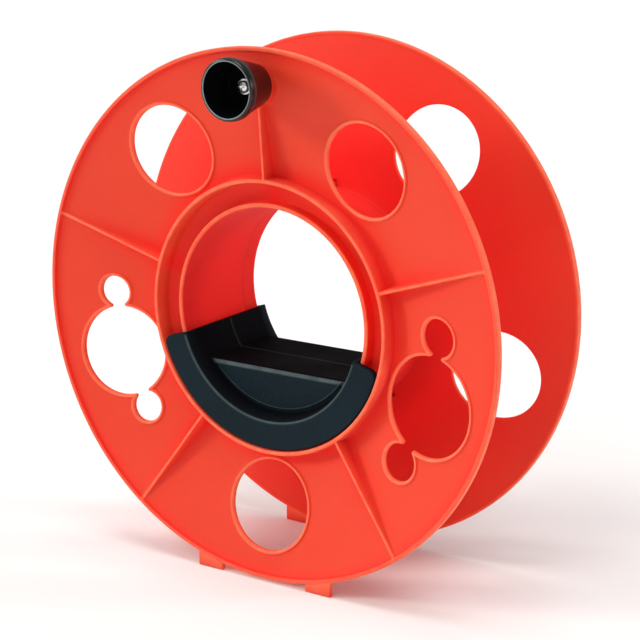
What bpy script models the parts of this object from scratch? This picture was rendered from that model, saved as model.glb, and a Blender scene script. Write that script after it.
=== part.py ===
"""Extension cord reel: two moulded reel halves, a hand grip that spins in the hub, and a crank knob.

Units are metres, +Z is up and the reel's axis lies along Y, with the crank side towards -Y. Every shape is
drawn in reel coordinates, where the Y axis is the reel's axis and the front rim lies at y = 0, and its
object is then placed on the axis. The four feet stand on z = 0.
"""
import math

import bmesh
import bpy

# ---- driving dimensions -------------------------------------------------------------------------
FLANGE_RADIUS = 0.165
REEL_WIDTH = 0.102
AXIS_HEIGHT = 0.167
WALL = 0.0028
GAP = 0.0003
RING_STEPS = 72
EDGE = 0.0006
PAST = 0.0020

# Flange plate: a shallow cone, furthest forward at the rim, with a bead round its edge.
RIM_BEAD = 0.0026
PLATE_AT_RIM = 0.0020
PLATE_SLOPE = 0.205
PLATE_WALL = 0.0024
HUB_RING_OUTER = 0.0858
HUB_RING_INNER = 0.0832
HUB_RING_FOOT = 0.0868
HUB_CREST = 0.0072
BORE_RADIUS = 0.0675
DRUM_RADIUS = 0.0705
LIP_FRONT = 0.0126
NECK_END = 0.0255

# Openings in the flanges, on one pitch circle, midway between the ribs.
OPENING_PITCH = 0.120
ROUND_HOLE_RADIUS = 0.0281
ROUND_HOLE_STEPS = 32
BEAD_WIDTH = 0.0028
BEAD_RISE = 0.0010
BEAD_ROOT = 0.0012
FRONT_ROUND_HOLES = (54, 126, 270)
REAR_ROUND_HOLES = (54, 126, 198, 270, 342)
# Where each plug opening is, with its radius, the radius of its cord openings, and their distance from it.
FRONT_PLUG_HOLES = {198: (0.0290, 0.0099, 0.0389), 342: (0.0302, 0.0114, 0.0425)}
NECK_LIP_RADIUS = 0.0012
BEAD_LIP_RADIUS = 0.0006
LIP_STEPS = 3
LOBE_STEPS = 14

# Ribs from the hub ring to the rim.
RIB_ANGLES = (18, 90, 162, 234, 306)
KNOB_RIB = 90
RIB_TOP_HALF = 0.0009
RIB_FOOT_HALF = 0.0015
RIB_INNER_RADIUS = 0.0845
RIB_OUTER_RADIUS = 0.1632
RIB_INNER_TOP = 0.0078
RIB_OUTER_TOP = 0.0014

# Feet under each flange.
FOOT_INNER_X = 0.0317
FOOT_OUTER_X = 0.0502
FOOT_ROOT_RADIUS = 0.1630
FOOT_FRONT = 0.0010
FOOT_THICKNESS = 0.0032
FOOT_ROOT_STEPS = 3

# Snap hooks on the end of the drum, in line with the ribs, through slots in the rear flange.
HOOK_HALF_WIDTH = 0.0045
HOOK_PAD_START = 0.0660
HOOK_PAD_INNER = 0.0695
HOOK_INNER = 0.0711
HOOK_OUTER = 0.0730
HOOK_CATCH = 0.0749
HOOK_CATCH_Y = 0.0823
HOOK_TIP_Y = 0.0852
HOOK_TIP_RADIUS = 0.0735

# Hand grip, in two halves that meet in the middle of the reel.
ARC_HALF_ANGLE = 74.5
ARC_STEPS = 30
ARC_OUTER = 0.0824
ARC_INNER = 0.0648
ARC_FRONT = 0.0079
ARC_BACK = 0.0120
ARC_TIP_RADIUS = 0.0055
ARC_TIP_STEPS = 4
CRADLE_OUTER = 0.0669
CRADLE_INNER = 0.0622
CRADLE_MIDDLE = 0.0614
GRIP_FACE = 0.0186
GRIP_TOP = -0.0342
GRIP_ROOT_RADIUS = 0.0630
GRIP_HOLLOW_RADIUS = 0.0637
GRIP_STEPS = 20
GRIP_SCREW_X = 0.0220
GRIP_SCREW_Z = -0.0500
GRIP_BOSS_RADIUS = 0.0045
GRIP_SOCKET_RADIUS = 0.0060
GRIP_COUNTERBORE = 0.0042
GRIP_WEB_NEAR = 0.0360
GRIP_PILOT_END = 0.0320
GRIP_SCREW_TIP = -0.0360

# Crank knob, on a post moulded on the front flange.
KNOB_OFFSET = 0.1430
KNOB_LENGTH = 0.0280
KNOB_MOUTH_RADIUS = 0.0186
KNOB_MOUTH_INNER = 0.0164
KNOB_NECK_RADIUS = 0.0180
KNOB_BASE_RADIUS = 0.0126
KNOB_FLOOR = -0.0080
KNOB_FLOOR_RADIUS = 0.0124
KNOB_BORE = 0.0039
KNOB_WALL = 0.0026
KNOB_SLEEVE = 0.0024
KNOB_DRAFT = 0.0004
KNOB_CORE_DEPTH = 0.0060
KNOB_LIP_ROUND = 0.0010
KNOB_LIP_LENGTH = 0.0046
KNOB_LIP_END = 0.0052
KNOB_STEPS = 40
BOSS_RADIUS = 0.0120
BOSS_FACE = 0.0010
POST_RADIUS = 0.0036
POST_END = -0.0083
WASHER_RADIUS = 0.0048
WASHER_THICKNESS = 0.0010
KNOB_SCREW_TIP = 0.0045

# Self-tapping screws.
SCREW_STEPS = 20
SHANK_RADIUS = 0.0016
PILOT_RADIUS = 0.0019
HEAD_RADIUS = 0.0037
HEAD_HEIGHT = 0.0023
RECESS_DEPTH = 0.0012
RECESS_HALF_LENGTH = 0.0019
RECESS_HALF_WIDTH = 0.0005
HEAD_SHOULDER = 0.86
HEAD_CROWN = 0.55

# Shading.
SHARP_ANGLE = 30
EMPTY_SIZE = 0.02

# ---- places that follow from them ---------------------------------------------------------------
KNOB_BASE = BOSS_FACE - GAP
KNOB_MOUTH = KNOB_BASE - KNOB_LENGTH
OVERALL_DEPTH = REEL_WIDTH - KNOB_MOUTH
FRONT_RIM_Y = OVERALL_DEPTH / 2 - REEL_WIDTH
HALF_END = REEL_WIDTH / 2 - GAP / 2
DRUM_END = REEL_WIDTH - NECK_END - GAP


def plate_front(radius):
    """How far the outer face of the flange plate lies behind the rim at this radius."""
    return PLATE_AT_RIM + PLATE_SLOPE * (FLANGE_RADIUS - RIM_BEAD - radius)


# ---- meshes -------------------------------------------------------------------------------------
def make_object(name, verts, faces):
    mesh = bpy.data.meshes.new(name)
    mesh.from_pydata(verts, [], faces)
    bm = bmesh.new()
    bm.from_mesh(mesh)
    bmesh.ops.recalc_face_normals(bm, faces=bm.faces)
    bm.to_mesh(mesh)
    bm.free()
    made = bpy.data.objects.new(name, mesh)
    bpy.context.scene.collection.objects.link(made)
    return made


def swept(name, profile, angles, centre, closed_profile, closed_sweep):
    """A (radius, y) outline carried round an axis along Y through the (x, z) centre."""
    count = len(profile)
    verts = []
    for angle in angles:
        for radius, y in profile:
            verts.append((centre[0] + radius * math.cos(angle), y, centre[1] + radius * math.sin(angle)))
    faces = []
    turns = len(angles) if closed_sweep else len(angles) - 1
    sides = count if closed_profile else count - 1
    for turn in range(turns):
        here = turn * count
        there = (turn + 1) % len(angles) * count
        for i in range(sides):
            j = (i + 1) % count
            faces.append((here + i, here + j, there + j, there + i))
    if not closed_profile:
        faces.append([turn * count for turn in range(turns)])
        faces.append([turn * count + count - 1 for turn in range(turns)])
    if not closed_sweep:
        faces.append(list(range(count)))
        faces.append([turns * count + i for i in range(count)])
    return make_object(name, verts, faces)


def full_turn(steps):
    return [2 * math.pi * step / steps for step in range(steps)]


def turned(name, profile, steps, centre=(0.0, 0.0)):
    """A closed outline that doesn't touch the axis, turned all the way round."""
    return swept(name, profile, full_turn(steps), centre, True, True)


def turned_rod(name, profile, steps, centre=(0.0, 0.0)):
    """An open outline turned all the way round, with a flat disc at each end."""
    return swept(name, profile, full_turn(steps), centre, False, True)


def sector(name, profile, half_angle, steps):
    """A closed outline swept through an arc centred on straight down."""
    start = math.radians(-90 - half_angle)
    span = math.radians(2 * half_angle)
    angles = [start + span * step / steps for step in range(steps + 1)]
    return swept(name, profile, angles, (0.0, 0.0), True, False)


def prism(name, outline, near, far):
    """An (x, z) outline extruded along Y from near to far."""
    count = len(outline)
    verts = [(x, near, z) for x, z in outline] + [(x, far, z) for x, z in outline]
    faces = [list(range(count)), list(range(count, 2 * count))]
    for i in range(count):
        j = (i + 1) % count
        faces.append((i, j, count + j, count + i))
    return make_object(name, verts, faces)


def band(name, outer, inner, rise, root):
    """A strip between two (x, z) outlines that follows the flange plate, proud by rise and sunk by root."""
    count = len(outer)
    verts = []
    for outline, offset in ((outer, -rise), (inner, -rise), (inner, root), (outer, root)):
        verts += [(x, plate_front(math.hypot(x, z)) + offset, z) for x, z in outline]
    faces = []
    for ring in range(4):
        here = ring * count
        there = (ring + 1) % 4 * count
        for i in range(count):
            j = (i + 1) % count
            faces.append((here + i, here + j, there + j, there + i))
    return make_object(name, verts, faces)


def radial_prism(name, outline, angle, half_width):
    """A (radius, y) outline given a width across the radius at this angle."""
    a = math.radians(angle)
    count = len(outline)
    verts = []
    for side in (-half_width, half_width):
        for radius, y in outline:
            x = radius * math.cos(a) - side * math.sin(a)
            z = radius * math.sin(a) + side * math.cos(a)
            verts.append((x, y, z))
    faces = [list(range(count)), list(range(count, 2 * count))]
    for i in range(count):
        j = (i + 1) % count
        faces.append((i, j, count + j, count + i))
    return make_object(name, verts, faces)


def combine(target, tools, operation):
    """Unions the tools with the target, or cuts them from it, one after another, and removes them."""
    for tool in tools:
        modifier = target.modifiers.new("combine", "BOOLEAN")
        modifier.operation = operation
        modifier.solver = "EXACT"
        modifier.object = tool
        graph = bpy.context.evaluated_depsgraph_get()
        mesh = bpy.data.meshes.new_from_object(target.evaluated_get(graph))
        target.modifiers.remove(modifier)
        target.data = mesh
        bpy.data.objects.remove(tool, do_unlink=True)
    return target


def flipped(made):
    """Turns a shape drawn from the front rim into one drawn from the rear rim."""
    bm = bmesh.new()
    bm.from_mesh(made.data)
    for vert in bm.verts:
        vert.co.y = REEL_WIDTH - vert.co.y
    bmesh.ops.reverse_faces(bm, faces=bm.faces)
    bm.to_mesh(made.data)
    bm.free()
    return made


# ---- outlines in (x, z) -------------------------------------------------------------------------
def on_circle(centre, radius, angle):
    return centre[0] + radius * math.cos(angle), centre[1] + radius * math.sin(angle)


def on_pitch(degrees):
    return on_circle((0.0, 0.0), OPENING_PITCH, math.radians(degrees))


def arc(centre, radius, start, end, steps):
    """Points on an arc from start to end, both included."""
    return [on_circle(centre, radius, start + (end - start) * step / steps) for step in range(steps + 1)]


def circle(centre, radius, steps):
    return [on_circle(centre, radius, angle) for angle in full_turn(steps)]


def corner_angle(side, base, opposite):
    """The angle between side and base in a triangle whose third side is opposite."""
    return math.acos((side**2 + base**2 - opposite**2) / (2 * side * base))


def round_outline(degrees, grow):
    return circle(on_pitch(degrees), ROUND_HOLE_RADIUS + grow, ROUND_HOLE_STEPS)


def plug_outline(degrees, grow):
    """A round opening for a plug that runs into a small one for the cord on each side of it.

    grow widens all three circles and thins the rounded points of material between them.
    """
    plug_radius, cord_radius, spacing = FRONT_PLUG_HOLES[degrees]
    lip = NECK_LIP_RADIUS + (BEAD_LIP_RADIUS - NECK_LIP_RADIUS) * grow / BEAD_WIDTH
    big = plug_radius + grow
    small = cord_radius + grow
    centre = on_pitch(degrees)
    turn = math.degrees(2 * math.asin(spacing / 2 / OPENING_PITCH))
    at_big = corner_angle(big + lip, spacing, small + lip)
    at_small = corner_angle(small + lip, spacing, big + lip)
    partners = [on_pitch(degrees - turn), on_pitch(degrees + turn)]
    headings = [math.atan2(p[1] - centre[1], p[0] - centre[0]) for p in partners]
    points = []
    for k in (0, 1):
        heading = headings[k]
        entry = on_circle(centre, big + lip, heading - at_big)
        leave = on_circle(centre, big + lip, heading + at_big)
        points += arc(entry, lip, heading + math.pi - at_big, heading + at_small, LIP_STEPS)
        round_start = heading + math.pi + at_small
        round_end = heading + 3 * math.pi - at_small
        points += arc(partners[k], small, round_start, round_end, LOBE_STEPS)[1:-1]
        points += arc(leave, lip, heading - at_small, heading - math.pi + at_big, LIP_STEPS)
        sweep = (headings[1 - k] - heading) % (2 * math.pi)
        points += arc(centre, big, heading + at_big, heading + sweep - at_big, LOBE_STEPS)[1:-1]
    return points


def segment(radius, top):
    """The part of a disc on the axis that lies below the level top."""
    reach = math.asin(-top / radius)
    return arc((0.0, 0.0), radius, -math.pi + reach, -reach, GRIP_STEPS)


# ---- reel halves --------------------------------------------------------------------------------
def add_openings(flange, angles, outline):
    for degrees in angles:
        outer = outline(degrees, BEAD_WIDTH)
        inner = outline(degrees, -GAP)
        combine(flange, [band("bead", outer, inner, BEAD_RISE, BEAD_ROOT)], "UNION")
        hole = outline(degrees, 0.0)
        combine(flange, [prism("hole", hole, -PAST, NECK_END)], "DIFFERENCE")


def rib(degrees, outer_radius):
    """A straight rib whose top runs from the hub ring's crest down to the rim."""
    a = math.radians(degrees)
    verts = []
    for radius in (RIB_INNER_RADIUS, outer_radius):
        share = (radius - RIB_INNER_RADIUS) / (RIB_OUTER_RADIUS - RIB_INNER_RADIUS)
        top = RIB_INNER_TOP + (RIB_OUTER_TOP - RIB_INNER_TOP) * share
        foot = plate_front(radius) + BEAD_ROOT
        corners = ((RIB_FOOT_HALF, foot), (RIB_TOP_HALF, top), (-RIB_TOP_HALF, top), (-RIB_FOOT_HALF, foot))
        for side, y in corners:
            x = radius * math.cos(a) - side * math.sin(a)
            z = radius * math.sin(a) + side * math.cos(a)
            verts.append((x, y, z))
    faces = [(0, 1, 2, 3), (4, 5, 6, 7)]
    faces += [(i, (i + 1) % 4, 4 + (i + 1) % 4, 4 + i) for i in range(4)]
    return make_object("rib", verts, faces)


def add_ribs(flange, shortened):
    """Five ribs. The shortened one stops under the knob's boss."""
    for degrees in RIB_ANGLES:
        reach = KNOB_OFFSET - BOSS_RADIUS / 2 if degrees == shortened else RIB_OUTER_RADIUS
        combine(flange, [rib(degrees, reach)], "UNION")


def add_feet(flange):
    for side in (-1, 1):
        outer = -math.acos(FOOT_OUTER_X / FOOT_ROOT_RADIUS)
        inner = -math.acos(FOOT_INNER_X / FOOT_ROOT_RADIUS)
        outline = [(FOOT_INNER_X, -AXIS_HEIGHT), (FOOT_OUTER_X, -AXIS_HEIGHT)]
        outline += arc((0.0, 0.0), FOOT_ROOT_RADIUS, outer, inner, FOOT_ROOT_STEPS)
        outline = [(side * x, z) for x, z in outline]
        combine(flange, [prism("foot", outline, FOOT_FRONT, FOOT_FRONT + FOOT_THICKNESS)], "UNION")


def flange_outline(bore_end, drum_end):
    """The section through a reel half, from the rim in to the hub and back along the cord's side."""
    rim_inner = FLANGE_RADIUS - RIM_BEAD
    return [
        (FLANGE_RADIUS, EDGE),
        (FLANGE_RADIUS - EDGE, 0.0),
        (rim_inner + EDGE, 0.0),
        (rim_inner, EDGE),
        (rim_inner, plate_front(rim_inner)),
        (HUB_RING_FOOT, plate_front(HUB_RING_FOOT)),
        (HUB_RING_OUTER, HUB_CREST),
        (HUB_RING_INNER, HUB_CREST),
        (HUB_RING_INNER, plate_front(HUB_RING_INNER)),
        (DRUM_RADIUS, plate_front(DRUM_RADIUS)),
        (DRUM_RADIUS, LIP_FRONT),
        (BORE_RADIUS, LIP_FRONT),
        (BORE_RADIUS, bore_end),
        (DRUM_RADIUS, drum_end),
        (DRUM_RADIUS, plate_front(DRUM_RADIUS) + PLATE_WALL),
        (rim_inner, plate_front(rim_inner) + PLATE_WALL),
        (FLANGE_RADIUS, plate_front(rim_inner) + PLATE_WALL),
    ]


def add_hooks(half):
    for degrees in RIB_ANGLES:
        outline = [
            (HOOK_PAD_INNER, HOOK_PAD_START),
            (HOOK_OUTER, HOOK_PAD_START + PAST),
            (HOOK_OUTER, HOOK_CATCH_Y),
            (HOOK_CATCH, HOOK_CATCH_Y),
            (HOOK_TIP_RADIUS, HOOK_TIP_Y),
            (HOOK_INNER, HOOK_TIP_Y),
            (HOOK_INNER, DRUM_END - GAP),
            (HOOK_PAD_INNER, DRUM_END - GAP),
        ]
        combine(half, [radial_prism("hook", outline, degrees, HOOK_HALF_WIDTH)], "UNION")


def cut_hook_slots(half):
    near = plate_front(HOOK_CATCH) - PAST
    far = plate_front(HOOK_INNER) + PLATE_WALL + PAST
    for degrees in RIB_ANGLES:
        inner = HOOK_INNER - GAP
        outer = HOOK_CATCH + GAP
        outline = [(inner, near), (outer, near), (outer, far), (inner, far)]
        combine(half, [radial_prism("slot", outline, degrees, HOOK_HALF_WIDTH + GAP)], "DIFFERENCE")


def add_knob_boss(half):
    """A round boss on the plate, the post that the knob turns on, and the screw's pilot hole."""
    centre = (0.0, KNOB_OFFSET)
    steps = KNOB_STEPS
    rim = circle(centre, BOSS_RADIUS, steps)
    verts = [(x, BOSS_FACE, z) for x, z in rim]
    verts += [(x, plate_front(math.hypot(x, z)) + BEAD_ROOT, z) for x, z in rim]
    verts.append((0.0, plate_front(KNOB_OFFSET) + BEAD_ROOT, KNOB_OFFSET))
    faces = [list(range(steps))]
    for i in range(steps):
        j = (i + 1) % steps
        faces.append((i, j, steps + j, steps + i))
        faces.append((steps + i, steps + j, 2 * steps))
    boss = make_object("boss", verts, faces)
    post = turned_rod("post", [(POST_RADIUS, BOSS_FACE + PAST), (POST_RADIUS, POST_END)], SCREW_STEPS, centre)
    pilot_end = plate_front(KNOB_OFFSET)
    pilot = turned_rod(
        "pilot", [(PILOT_RADIUS, pilot_end), (PILOT_RADIUS, POST_END - PAST)], SCREW_STEPS, centre
    )
    combine(half, [boss, post], "UNION")
    combine(half, [pilot], "DIFFERENCE")


def front_reel_half():
    """The front flange and the whole drum, in one moulding."""
    half = turned("front_reel_half", flange_outline(DRUM_END, DRUM_END), RING_STEPS)
    add_openings(half, FRONT_ROUND_HOLES, round_outline)
    add_openings(half, FRONT_PLUG_HOLES, plug_outline)
    add_ribs(half, KNOB_RIB)
    add_feet(half)
    add_knob_boss(half)
    add_hooks(half)
    return half


def rear_reel_half():
    """The rear flange with a short neck that meets the drum."""
    half = turned("rear_reel_half", flange_outline(NECK_END, NECK_END), RING_STEPS)
    add_openings(half, REAR_ROUND_HOLES, round_outline)
    add_ribs(half, None)
    add_feet(half)
    cut_hook_slots(half)
    return flipped(half)


# ---- hand grip ----------------------------------------------------------------------------------
def round_arc_tips(shell):
    """Rounds the two outer corners of the arc plate, seen along the axis."""
    bm = bmesh.new()
    bm.from_mesh(shell.data)
    end_height = -ARC_OUTER * math.cos(math.radians(ARC_HALF_ANGLE))
    corners = []
    for edge in bm.edges:
        middle = (edge.verts[0].co + edge.verts[1].co) / 2
        at_rim = abs(math.hypot(middle.x, middle.z) - ARC_OUTER) < GAP / 10
        if at_rim and abs(middle.z - end_height) < GAP / 10:
            corners.append(edge)
    bmesh.ops.bevel(
        bm, geom=corners, offset=ARC_TIP_RADIUS, segments=ARC_TIP_STEPS, profile=0.5, affect="EDGES"
    )
    bm.to_mesh(shell.data)
    bm.free()
    return shell


def grip_shell(name):
    """The parts that both halves share: arc plate, cradle wall and hollow grip."""
    profile = [
        (ARC_INNER, ARC_FRONT),
        (ARC_OUTER, ARC_FRONT),
        (ARC_OUTER, ARC_BACK),
        (CRADLE_OUTER, ARC_BACK),
        (CRADLE_OUTER, HALF_END),
        (CRADLE_MIDDLE, HALF_END),
        (CRADLE_INNER, GRIP_FACE),
    ]
    shell = round_arc_tips(sector(name, profile, ARC_HALF_ANGLE, ARC_STEPS))
    block = prism("block", segment(GRIP_ROOT_RADIUS, GRIP_TOP), GRIP_FACE, HALF_END)
    hollow = prism("hollow", segment(GRIP_HOLLOW_RADIUS, GRIP_TOP - WALL), GRIP_FACE + WALL, HALF_END + PAST)
    combine(shell, [block], "UNION")
    combine(shell, [hollow], "DIFFERENCE")
    return shell


def add_grip_bosses(shell, radius, cuts):
    """A boss for each screw, joined to the grip's face, and the (radius, near, far) bores cut in it."""
    for side in (-1, 1):
        centre = (side * GRIP_SCREW_X, GRIP_SCREW_Z)
        boss = turned_rod("boss", [(radius, GRIP_FACE + WALL / 2), (radius, HALF_END)], SCREW_STEPS, centre)
        combine(shell, [boss], "UNION")
        for bore, near, far in cuts:
            cutter = turned_rod("bore", [(bore, near), (bore, far)], SCREW_STEPS, centre)
            combine(shell, [cutter], "DIFFERENCE")
    return shell


def grip_front_half():
    shell = grip_shell("grip_front_half")
    return add_grip_bosses(shell, GRIP_BOSS_RADIUS, [(PILOT_RADIUS, GRIP_PILOT_END, HALF_END + PAST)])


def grip_rear_half():
    """The half whose face holds the two screws, deep in their counterbores."""
    shell = grip_shell("grip_rear_half")
    cuts = [
        (GRIP_COUNTERBORE, GRIP_FACE - PAST, GRIP_WEB_NEAR),
        (PILOT_RADIUS + GAP, GRIP_WEB_NEAR - PAST, HALF_END + PAST),
    ]
    return flipped(add_grip_bosses(shell, GRIP_SOCKET_RADIUS, cuts))


# ---- crank knob and screws ----------------------------------------------------------------------
def crank_knob():
    """A hollow cup, open towards the hand, with its floor round the post."""
    core_floor = KNOB_BASE - KNOB_CORE_DEPTH
    profile = [
        (KNOB_BORE, KNOB_FLOOR),
        (KNOB_FLOOR_RADIUS, KNOB_FLOOR),
        (KNOB_MOUTH_INNER, KNOB_MOUTH + EDGE),
        (KNOB_MOUTH_INNER + EDGE, KNOB_MOUTH),
        (KNOB_MOUTH_RADIUS - KNOB_LIP_ROUND, KNOB_MOUTH),
        (KNOB_MOUTH_RADIUS - KNOB_DRAFT, KNOB_MOUTH + KNOB_LIP_ROUND),
        (KNOB_MOUTH_RADIUS, KNOB_MOUTH + KNOB_LIP_LENGTH),
        (KNOB_NECK_RADIUS, KNOB_MOUTH + KNOB_LIP_END),
        (KNOB_BASE_RADIUS, KNOB_BASE),
        (KNOB_BASE_RADIUS - KNOB_WALL, KNOB_BASE),
        (KNOB_BASE_RADIUS - KNOB_WALL - KNOB_DRAFT, core_floor),
        (KNOB_BORE + KNOB_SLEEVE + KNOB_DRAFT, core_floor),
        (KNOB_BORE + KNOB_SLEEVE, KNOB_BASE),
        (KNOB_BORE, KNOB_BASE),
    ]
    return turned("crank_knob", profile, KNOB_STEPS)


def knob_washer():
    outer_face = POST_END - GAP - WASHER_THICKNESS
    inner_face = POST_END - GAP
    profile = [
        (PILOT_RADIUS + GAP, inner_face),
        (WASHER_RADIUS, inner_face),
        (WASHER_RADIUS, outer_face),
        (PILOT_RADIUS + GAP, outer_face),
    ]
    return turned("knob_washer", profile, KNOB_STEPS // 2)


def pan_screw(name, seat, tip):
    """A pan-head screw along Y whose head sits on seat, towards -Y, and whose shank ends at tip."""
    top = seat - HEAD_HEIGHT
    profile = [
        (SHANK_RADIUS / 2, tip),
        (SHANK_RADIUS, tip - SHANK_RADIUS),
        (SHANK_RADIUS, seat),
        (HEAD_RADIUS, seat),
        (HEAD_RADIUS, seat - HEAD_HEIGHT / 2),
        (HEAD_RADIUS * HEAD_SHOULDER, seat - HEAD_HEIGHT * HEAD_SHOULDER),
        (HEAD_RADIUS * HEAD_CROWN, top),
    ]
    screw = turned_rod(name, profile, SCREW_STEPS)
    long = RECESS_HALF_LENGTH
    thin = RECESS_HALF_WIDTH
    cross = [
        (-long, -thin), (-thin, -thin), (-thin, -long), (thin, -long), (thin, -thin), (long, -thin),
        (long, thin), (thin, thin), (thin, long), (-thin, long), (-thin, thin), (-long, thin),
    ]
    recess = prism("recess", cross, top - PAST, top + RECESS_DEPTH)
    return combine(screw, [recess], "DIFFERENCE")


# ---- materials and placing ----------------------------------------------------------------------
def make_material(name, colour, roughness, metallic):
    material = bpy.data.materials.new(name)
    material.use_nodes = True
    shader = material.node_tree.nodes["Principled BSDF"]
    shader.inputs["Base Color"].default_value = (*colour, 1.0)
    shader.inputs["Roughness"].default_value = roughness
    shader.inputs["Metallic"].default_value = metallic
    material.diffuse_color = (*colour, 1.0)
    return material


def add_empty(name, location, parent=None):
    empty = bpy.data.objects.new(name, None)
    empty.empty_display_size = EMPTY_SIZE
    empty.location = location
    empty.parent = parent
    bpy.context.scene.collection.objects.link(empty)
    return empty


def finish(made, parent, material, location=(0.0, 0.0, 0.0)):
    made.parent = parent
    made.location = location
    made.data.materials.clear()
    made.data.materials.append(material)
    made.data.shade_smooth()
    made.data.set_sharp_from_angle(angle=math.radians(SHARP_ANGLE))


def build():
    for item in list(bpy.data.objects):
        bpy.data.objects.remove(item, do_unlink=True)

    red = make_material("reel_red_plastic", (0.85, 0.075, 0.025), 0.42, 0.0)
    black = make_material("grip_black_plastic", (0.018, 0.024, 0.028), 0.50, 0.0)
    knob_black = make_material("knob_black_plastic", (0.010, 0.012, 0.013), 0.25, 0.0)
    steel = make_material("screw_steel", (0.70, 0.70, 0.68), 0.28, 1.0)

    reel = add_empty("reel_frame", (0.0, FRONT_RIM_Y, AXIS_HEIGHT))
    finish(front_reel_half(), reel, red)
    finish(rear_reel_half(), reel, red)

    grip_axis = add_empty("grip_axis", (0.0, 0.0, 0.0), reel)
    finish(grip_front_half(), grip_axis, black)
    finish(grip_rear_half(), grip_axis, black)
    seat = REEL_WIDTH - GRIP_WEB_NEAR + GAP
    for name, side in (("grip_screw_left", -1), ("grip_screw_right", 1)):
        screw = pan_screw(name, -seat, GRIP_SCREW_TIP)
        finish(screw, grip_axis, steel, (side * GRIP_SCREW_X, 0.0, GRIP_SCREW_Z))
        screw.rotation_euler = (0.0, 0.0, math.pi)

    knob_axis = add_empty("knob_axis", (0.0, 0.0, KNOB_OFFSET), reel)
    finish(crank_knob(), knob_axis, knob_black)
    finish(knob_washer(), knob_axis, steel)
    screw = pan_screw("knob_screw", POST_END - 2 * GAP - WASHER_THICKNESS, KNOB_SCREW_TIP)
    finish(screw, knob_axis, steel)


build()
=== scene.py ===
import math
from contextlib import contextmanager

import bmesh
import bpy
import numpy as np
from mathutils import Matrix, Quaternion, Vector
from mathutils.geometry import delaunay_2d_cdt


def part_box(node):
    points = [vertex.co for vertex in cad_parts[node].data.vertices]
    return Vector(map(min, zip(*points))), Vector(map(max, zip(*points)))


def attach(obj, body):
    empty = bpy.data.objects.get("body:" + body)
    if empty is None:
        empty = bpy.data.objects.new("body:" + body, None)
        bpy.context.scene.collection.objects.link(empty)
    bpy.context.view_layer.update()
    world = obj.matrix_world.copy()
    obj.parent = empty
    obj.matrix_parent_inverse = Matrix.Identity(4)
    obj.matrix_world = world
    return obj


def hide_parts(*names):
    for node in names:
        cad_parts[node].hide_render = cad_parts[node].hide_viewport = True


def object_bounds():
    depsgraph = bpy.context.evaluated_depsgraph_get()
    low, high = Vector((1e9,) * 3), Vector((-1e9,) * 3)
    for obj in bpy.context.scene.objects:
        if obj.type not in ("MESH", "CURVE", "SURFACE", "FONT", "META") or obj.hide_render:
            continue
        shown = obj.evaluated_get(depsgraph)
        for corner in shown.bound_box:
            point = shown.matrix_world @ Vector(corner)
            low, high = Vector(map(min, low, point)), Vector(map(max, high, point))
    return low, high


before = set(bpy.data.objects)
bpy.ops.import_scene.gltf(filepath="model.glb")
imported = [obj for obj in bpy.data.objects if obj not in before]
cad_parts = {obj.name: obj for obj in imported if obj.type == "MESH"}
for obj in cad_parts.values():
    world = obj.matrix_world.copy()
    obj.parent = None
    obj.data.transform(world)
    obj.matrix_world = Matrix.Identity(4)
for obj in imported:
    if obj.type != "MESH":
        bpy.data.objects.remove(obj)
CAD_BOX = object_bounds()

# The finished surface of the cord reel. Every shape is drawn in reel coordinates, in metres: the Y axis is
# the reel's axis and the front rim lies at y = 0. Depth means y. An outline is a list of (x, z), and a
# section is a list of (radius, y).

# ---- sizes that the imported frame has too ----
FLANGE_RADIUS = 0.165
REEL_WIDTH = 0.102
WALL = 0.0028
GAP = 0.0003
PAST = 0.0020
RIM_INNER = 0.1624
PLATE_AT_RIM = 0.0020
PLATE_SLOPE = 0.205
PLATE_WALL = 0.0024
BORE_RADIUS = 0.0675
DRUM_RADIUS = 0.0705
LIP_FRONT = 0.0126
NECK_END = 0.0255
DRUM_END = REEL_WIDTH - NECK_END - GAP
HALF_END = REEL_WIDTH / 2 - GAP / 2

OPENING_PITCH = 0.120
ROUND_HOLE_RADIUS = 0.0281
FRONT_ROUND_HOLES = (54, 126, 270)
# Where each plug opening is, with its radius, the radius of its cord openings, and their distance from it.
FRONT_PLUG_HOLES = {198: (0.0290, 0.0099, 0.0389), 342: (0.0302, 0.0114, 0.0425)}
REAR_ROUND_HOLES = (54, 126, 198, 270, 342)
RIB_ANGLES = (18, 90, 162, 234, 306)
KNOB_RIB = 90

FOOT_X = (0.0317, 0.0502)
FOOT_Y = (0.0010, 0.0042)
FOOT_SOLE = -0.167
FOOT_ROOT = 0.1632
FOOT_BEVEL = 0.0004

HOOK_HALF_WIDTH = 0.0045
HOOK_SECTION = (
    (0.0695, 0.0660), (0.0730, 0.0680), (0.0730, 0.0823), (0.0749, 0.0823),
    (0.0735, 0.0852), (0.0711, 0.0852), (0.0711, 0.0759), (0.0695, 0.0759),
)
HOOK_BEVEL = 0.00025
SLOT_INNER = 0.0708
SLOT_OUTER = 0.0752

KNOB_OFFSET = 0.1430
KNOB_BASE = 0.0007
BOSS_RADIUS = 0.0120
BOSS_FACE = 0.0010
POST_RADIUS = 0.0036
POST_ROOT = BOSS_FACE + 0.0040
POST_END = -0.0083
PILOT_RADIUS = 0.0019
WASHER_RADIUS = 0.0048
WASHER_THICKNESS = 0.0010

GRIP_FACE = 0.0186
GRIP_TOP = -0.0342
GRIP_SCREW_X = 0.0220
GRIP_SCREW_Z = -0.0500
GRIP_WEB = 0.0360
GRIP_PILOT_END = 0.0320
ARC_HALF_ANGLE = 74.5
ARC_OUTER = 0.0824
ARC_TIP_RADIUS = 0.0055

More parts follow.
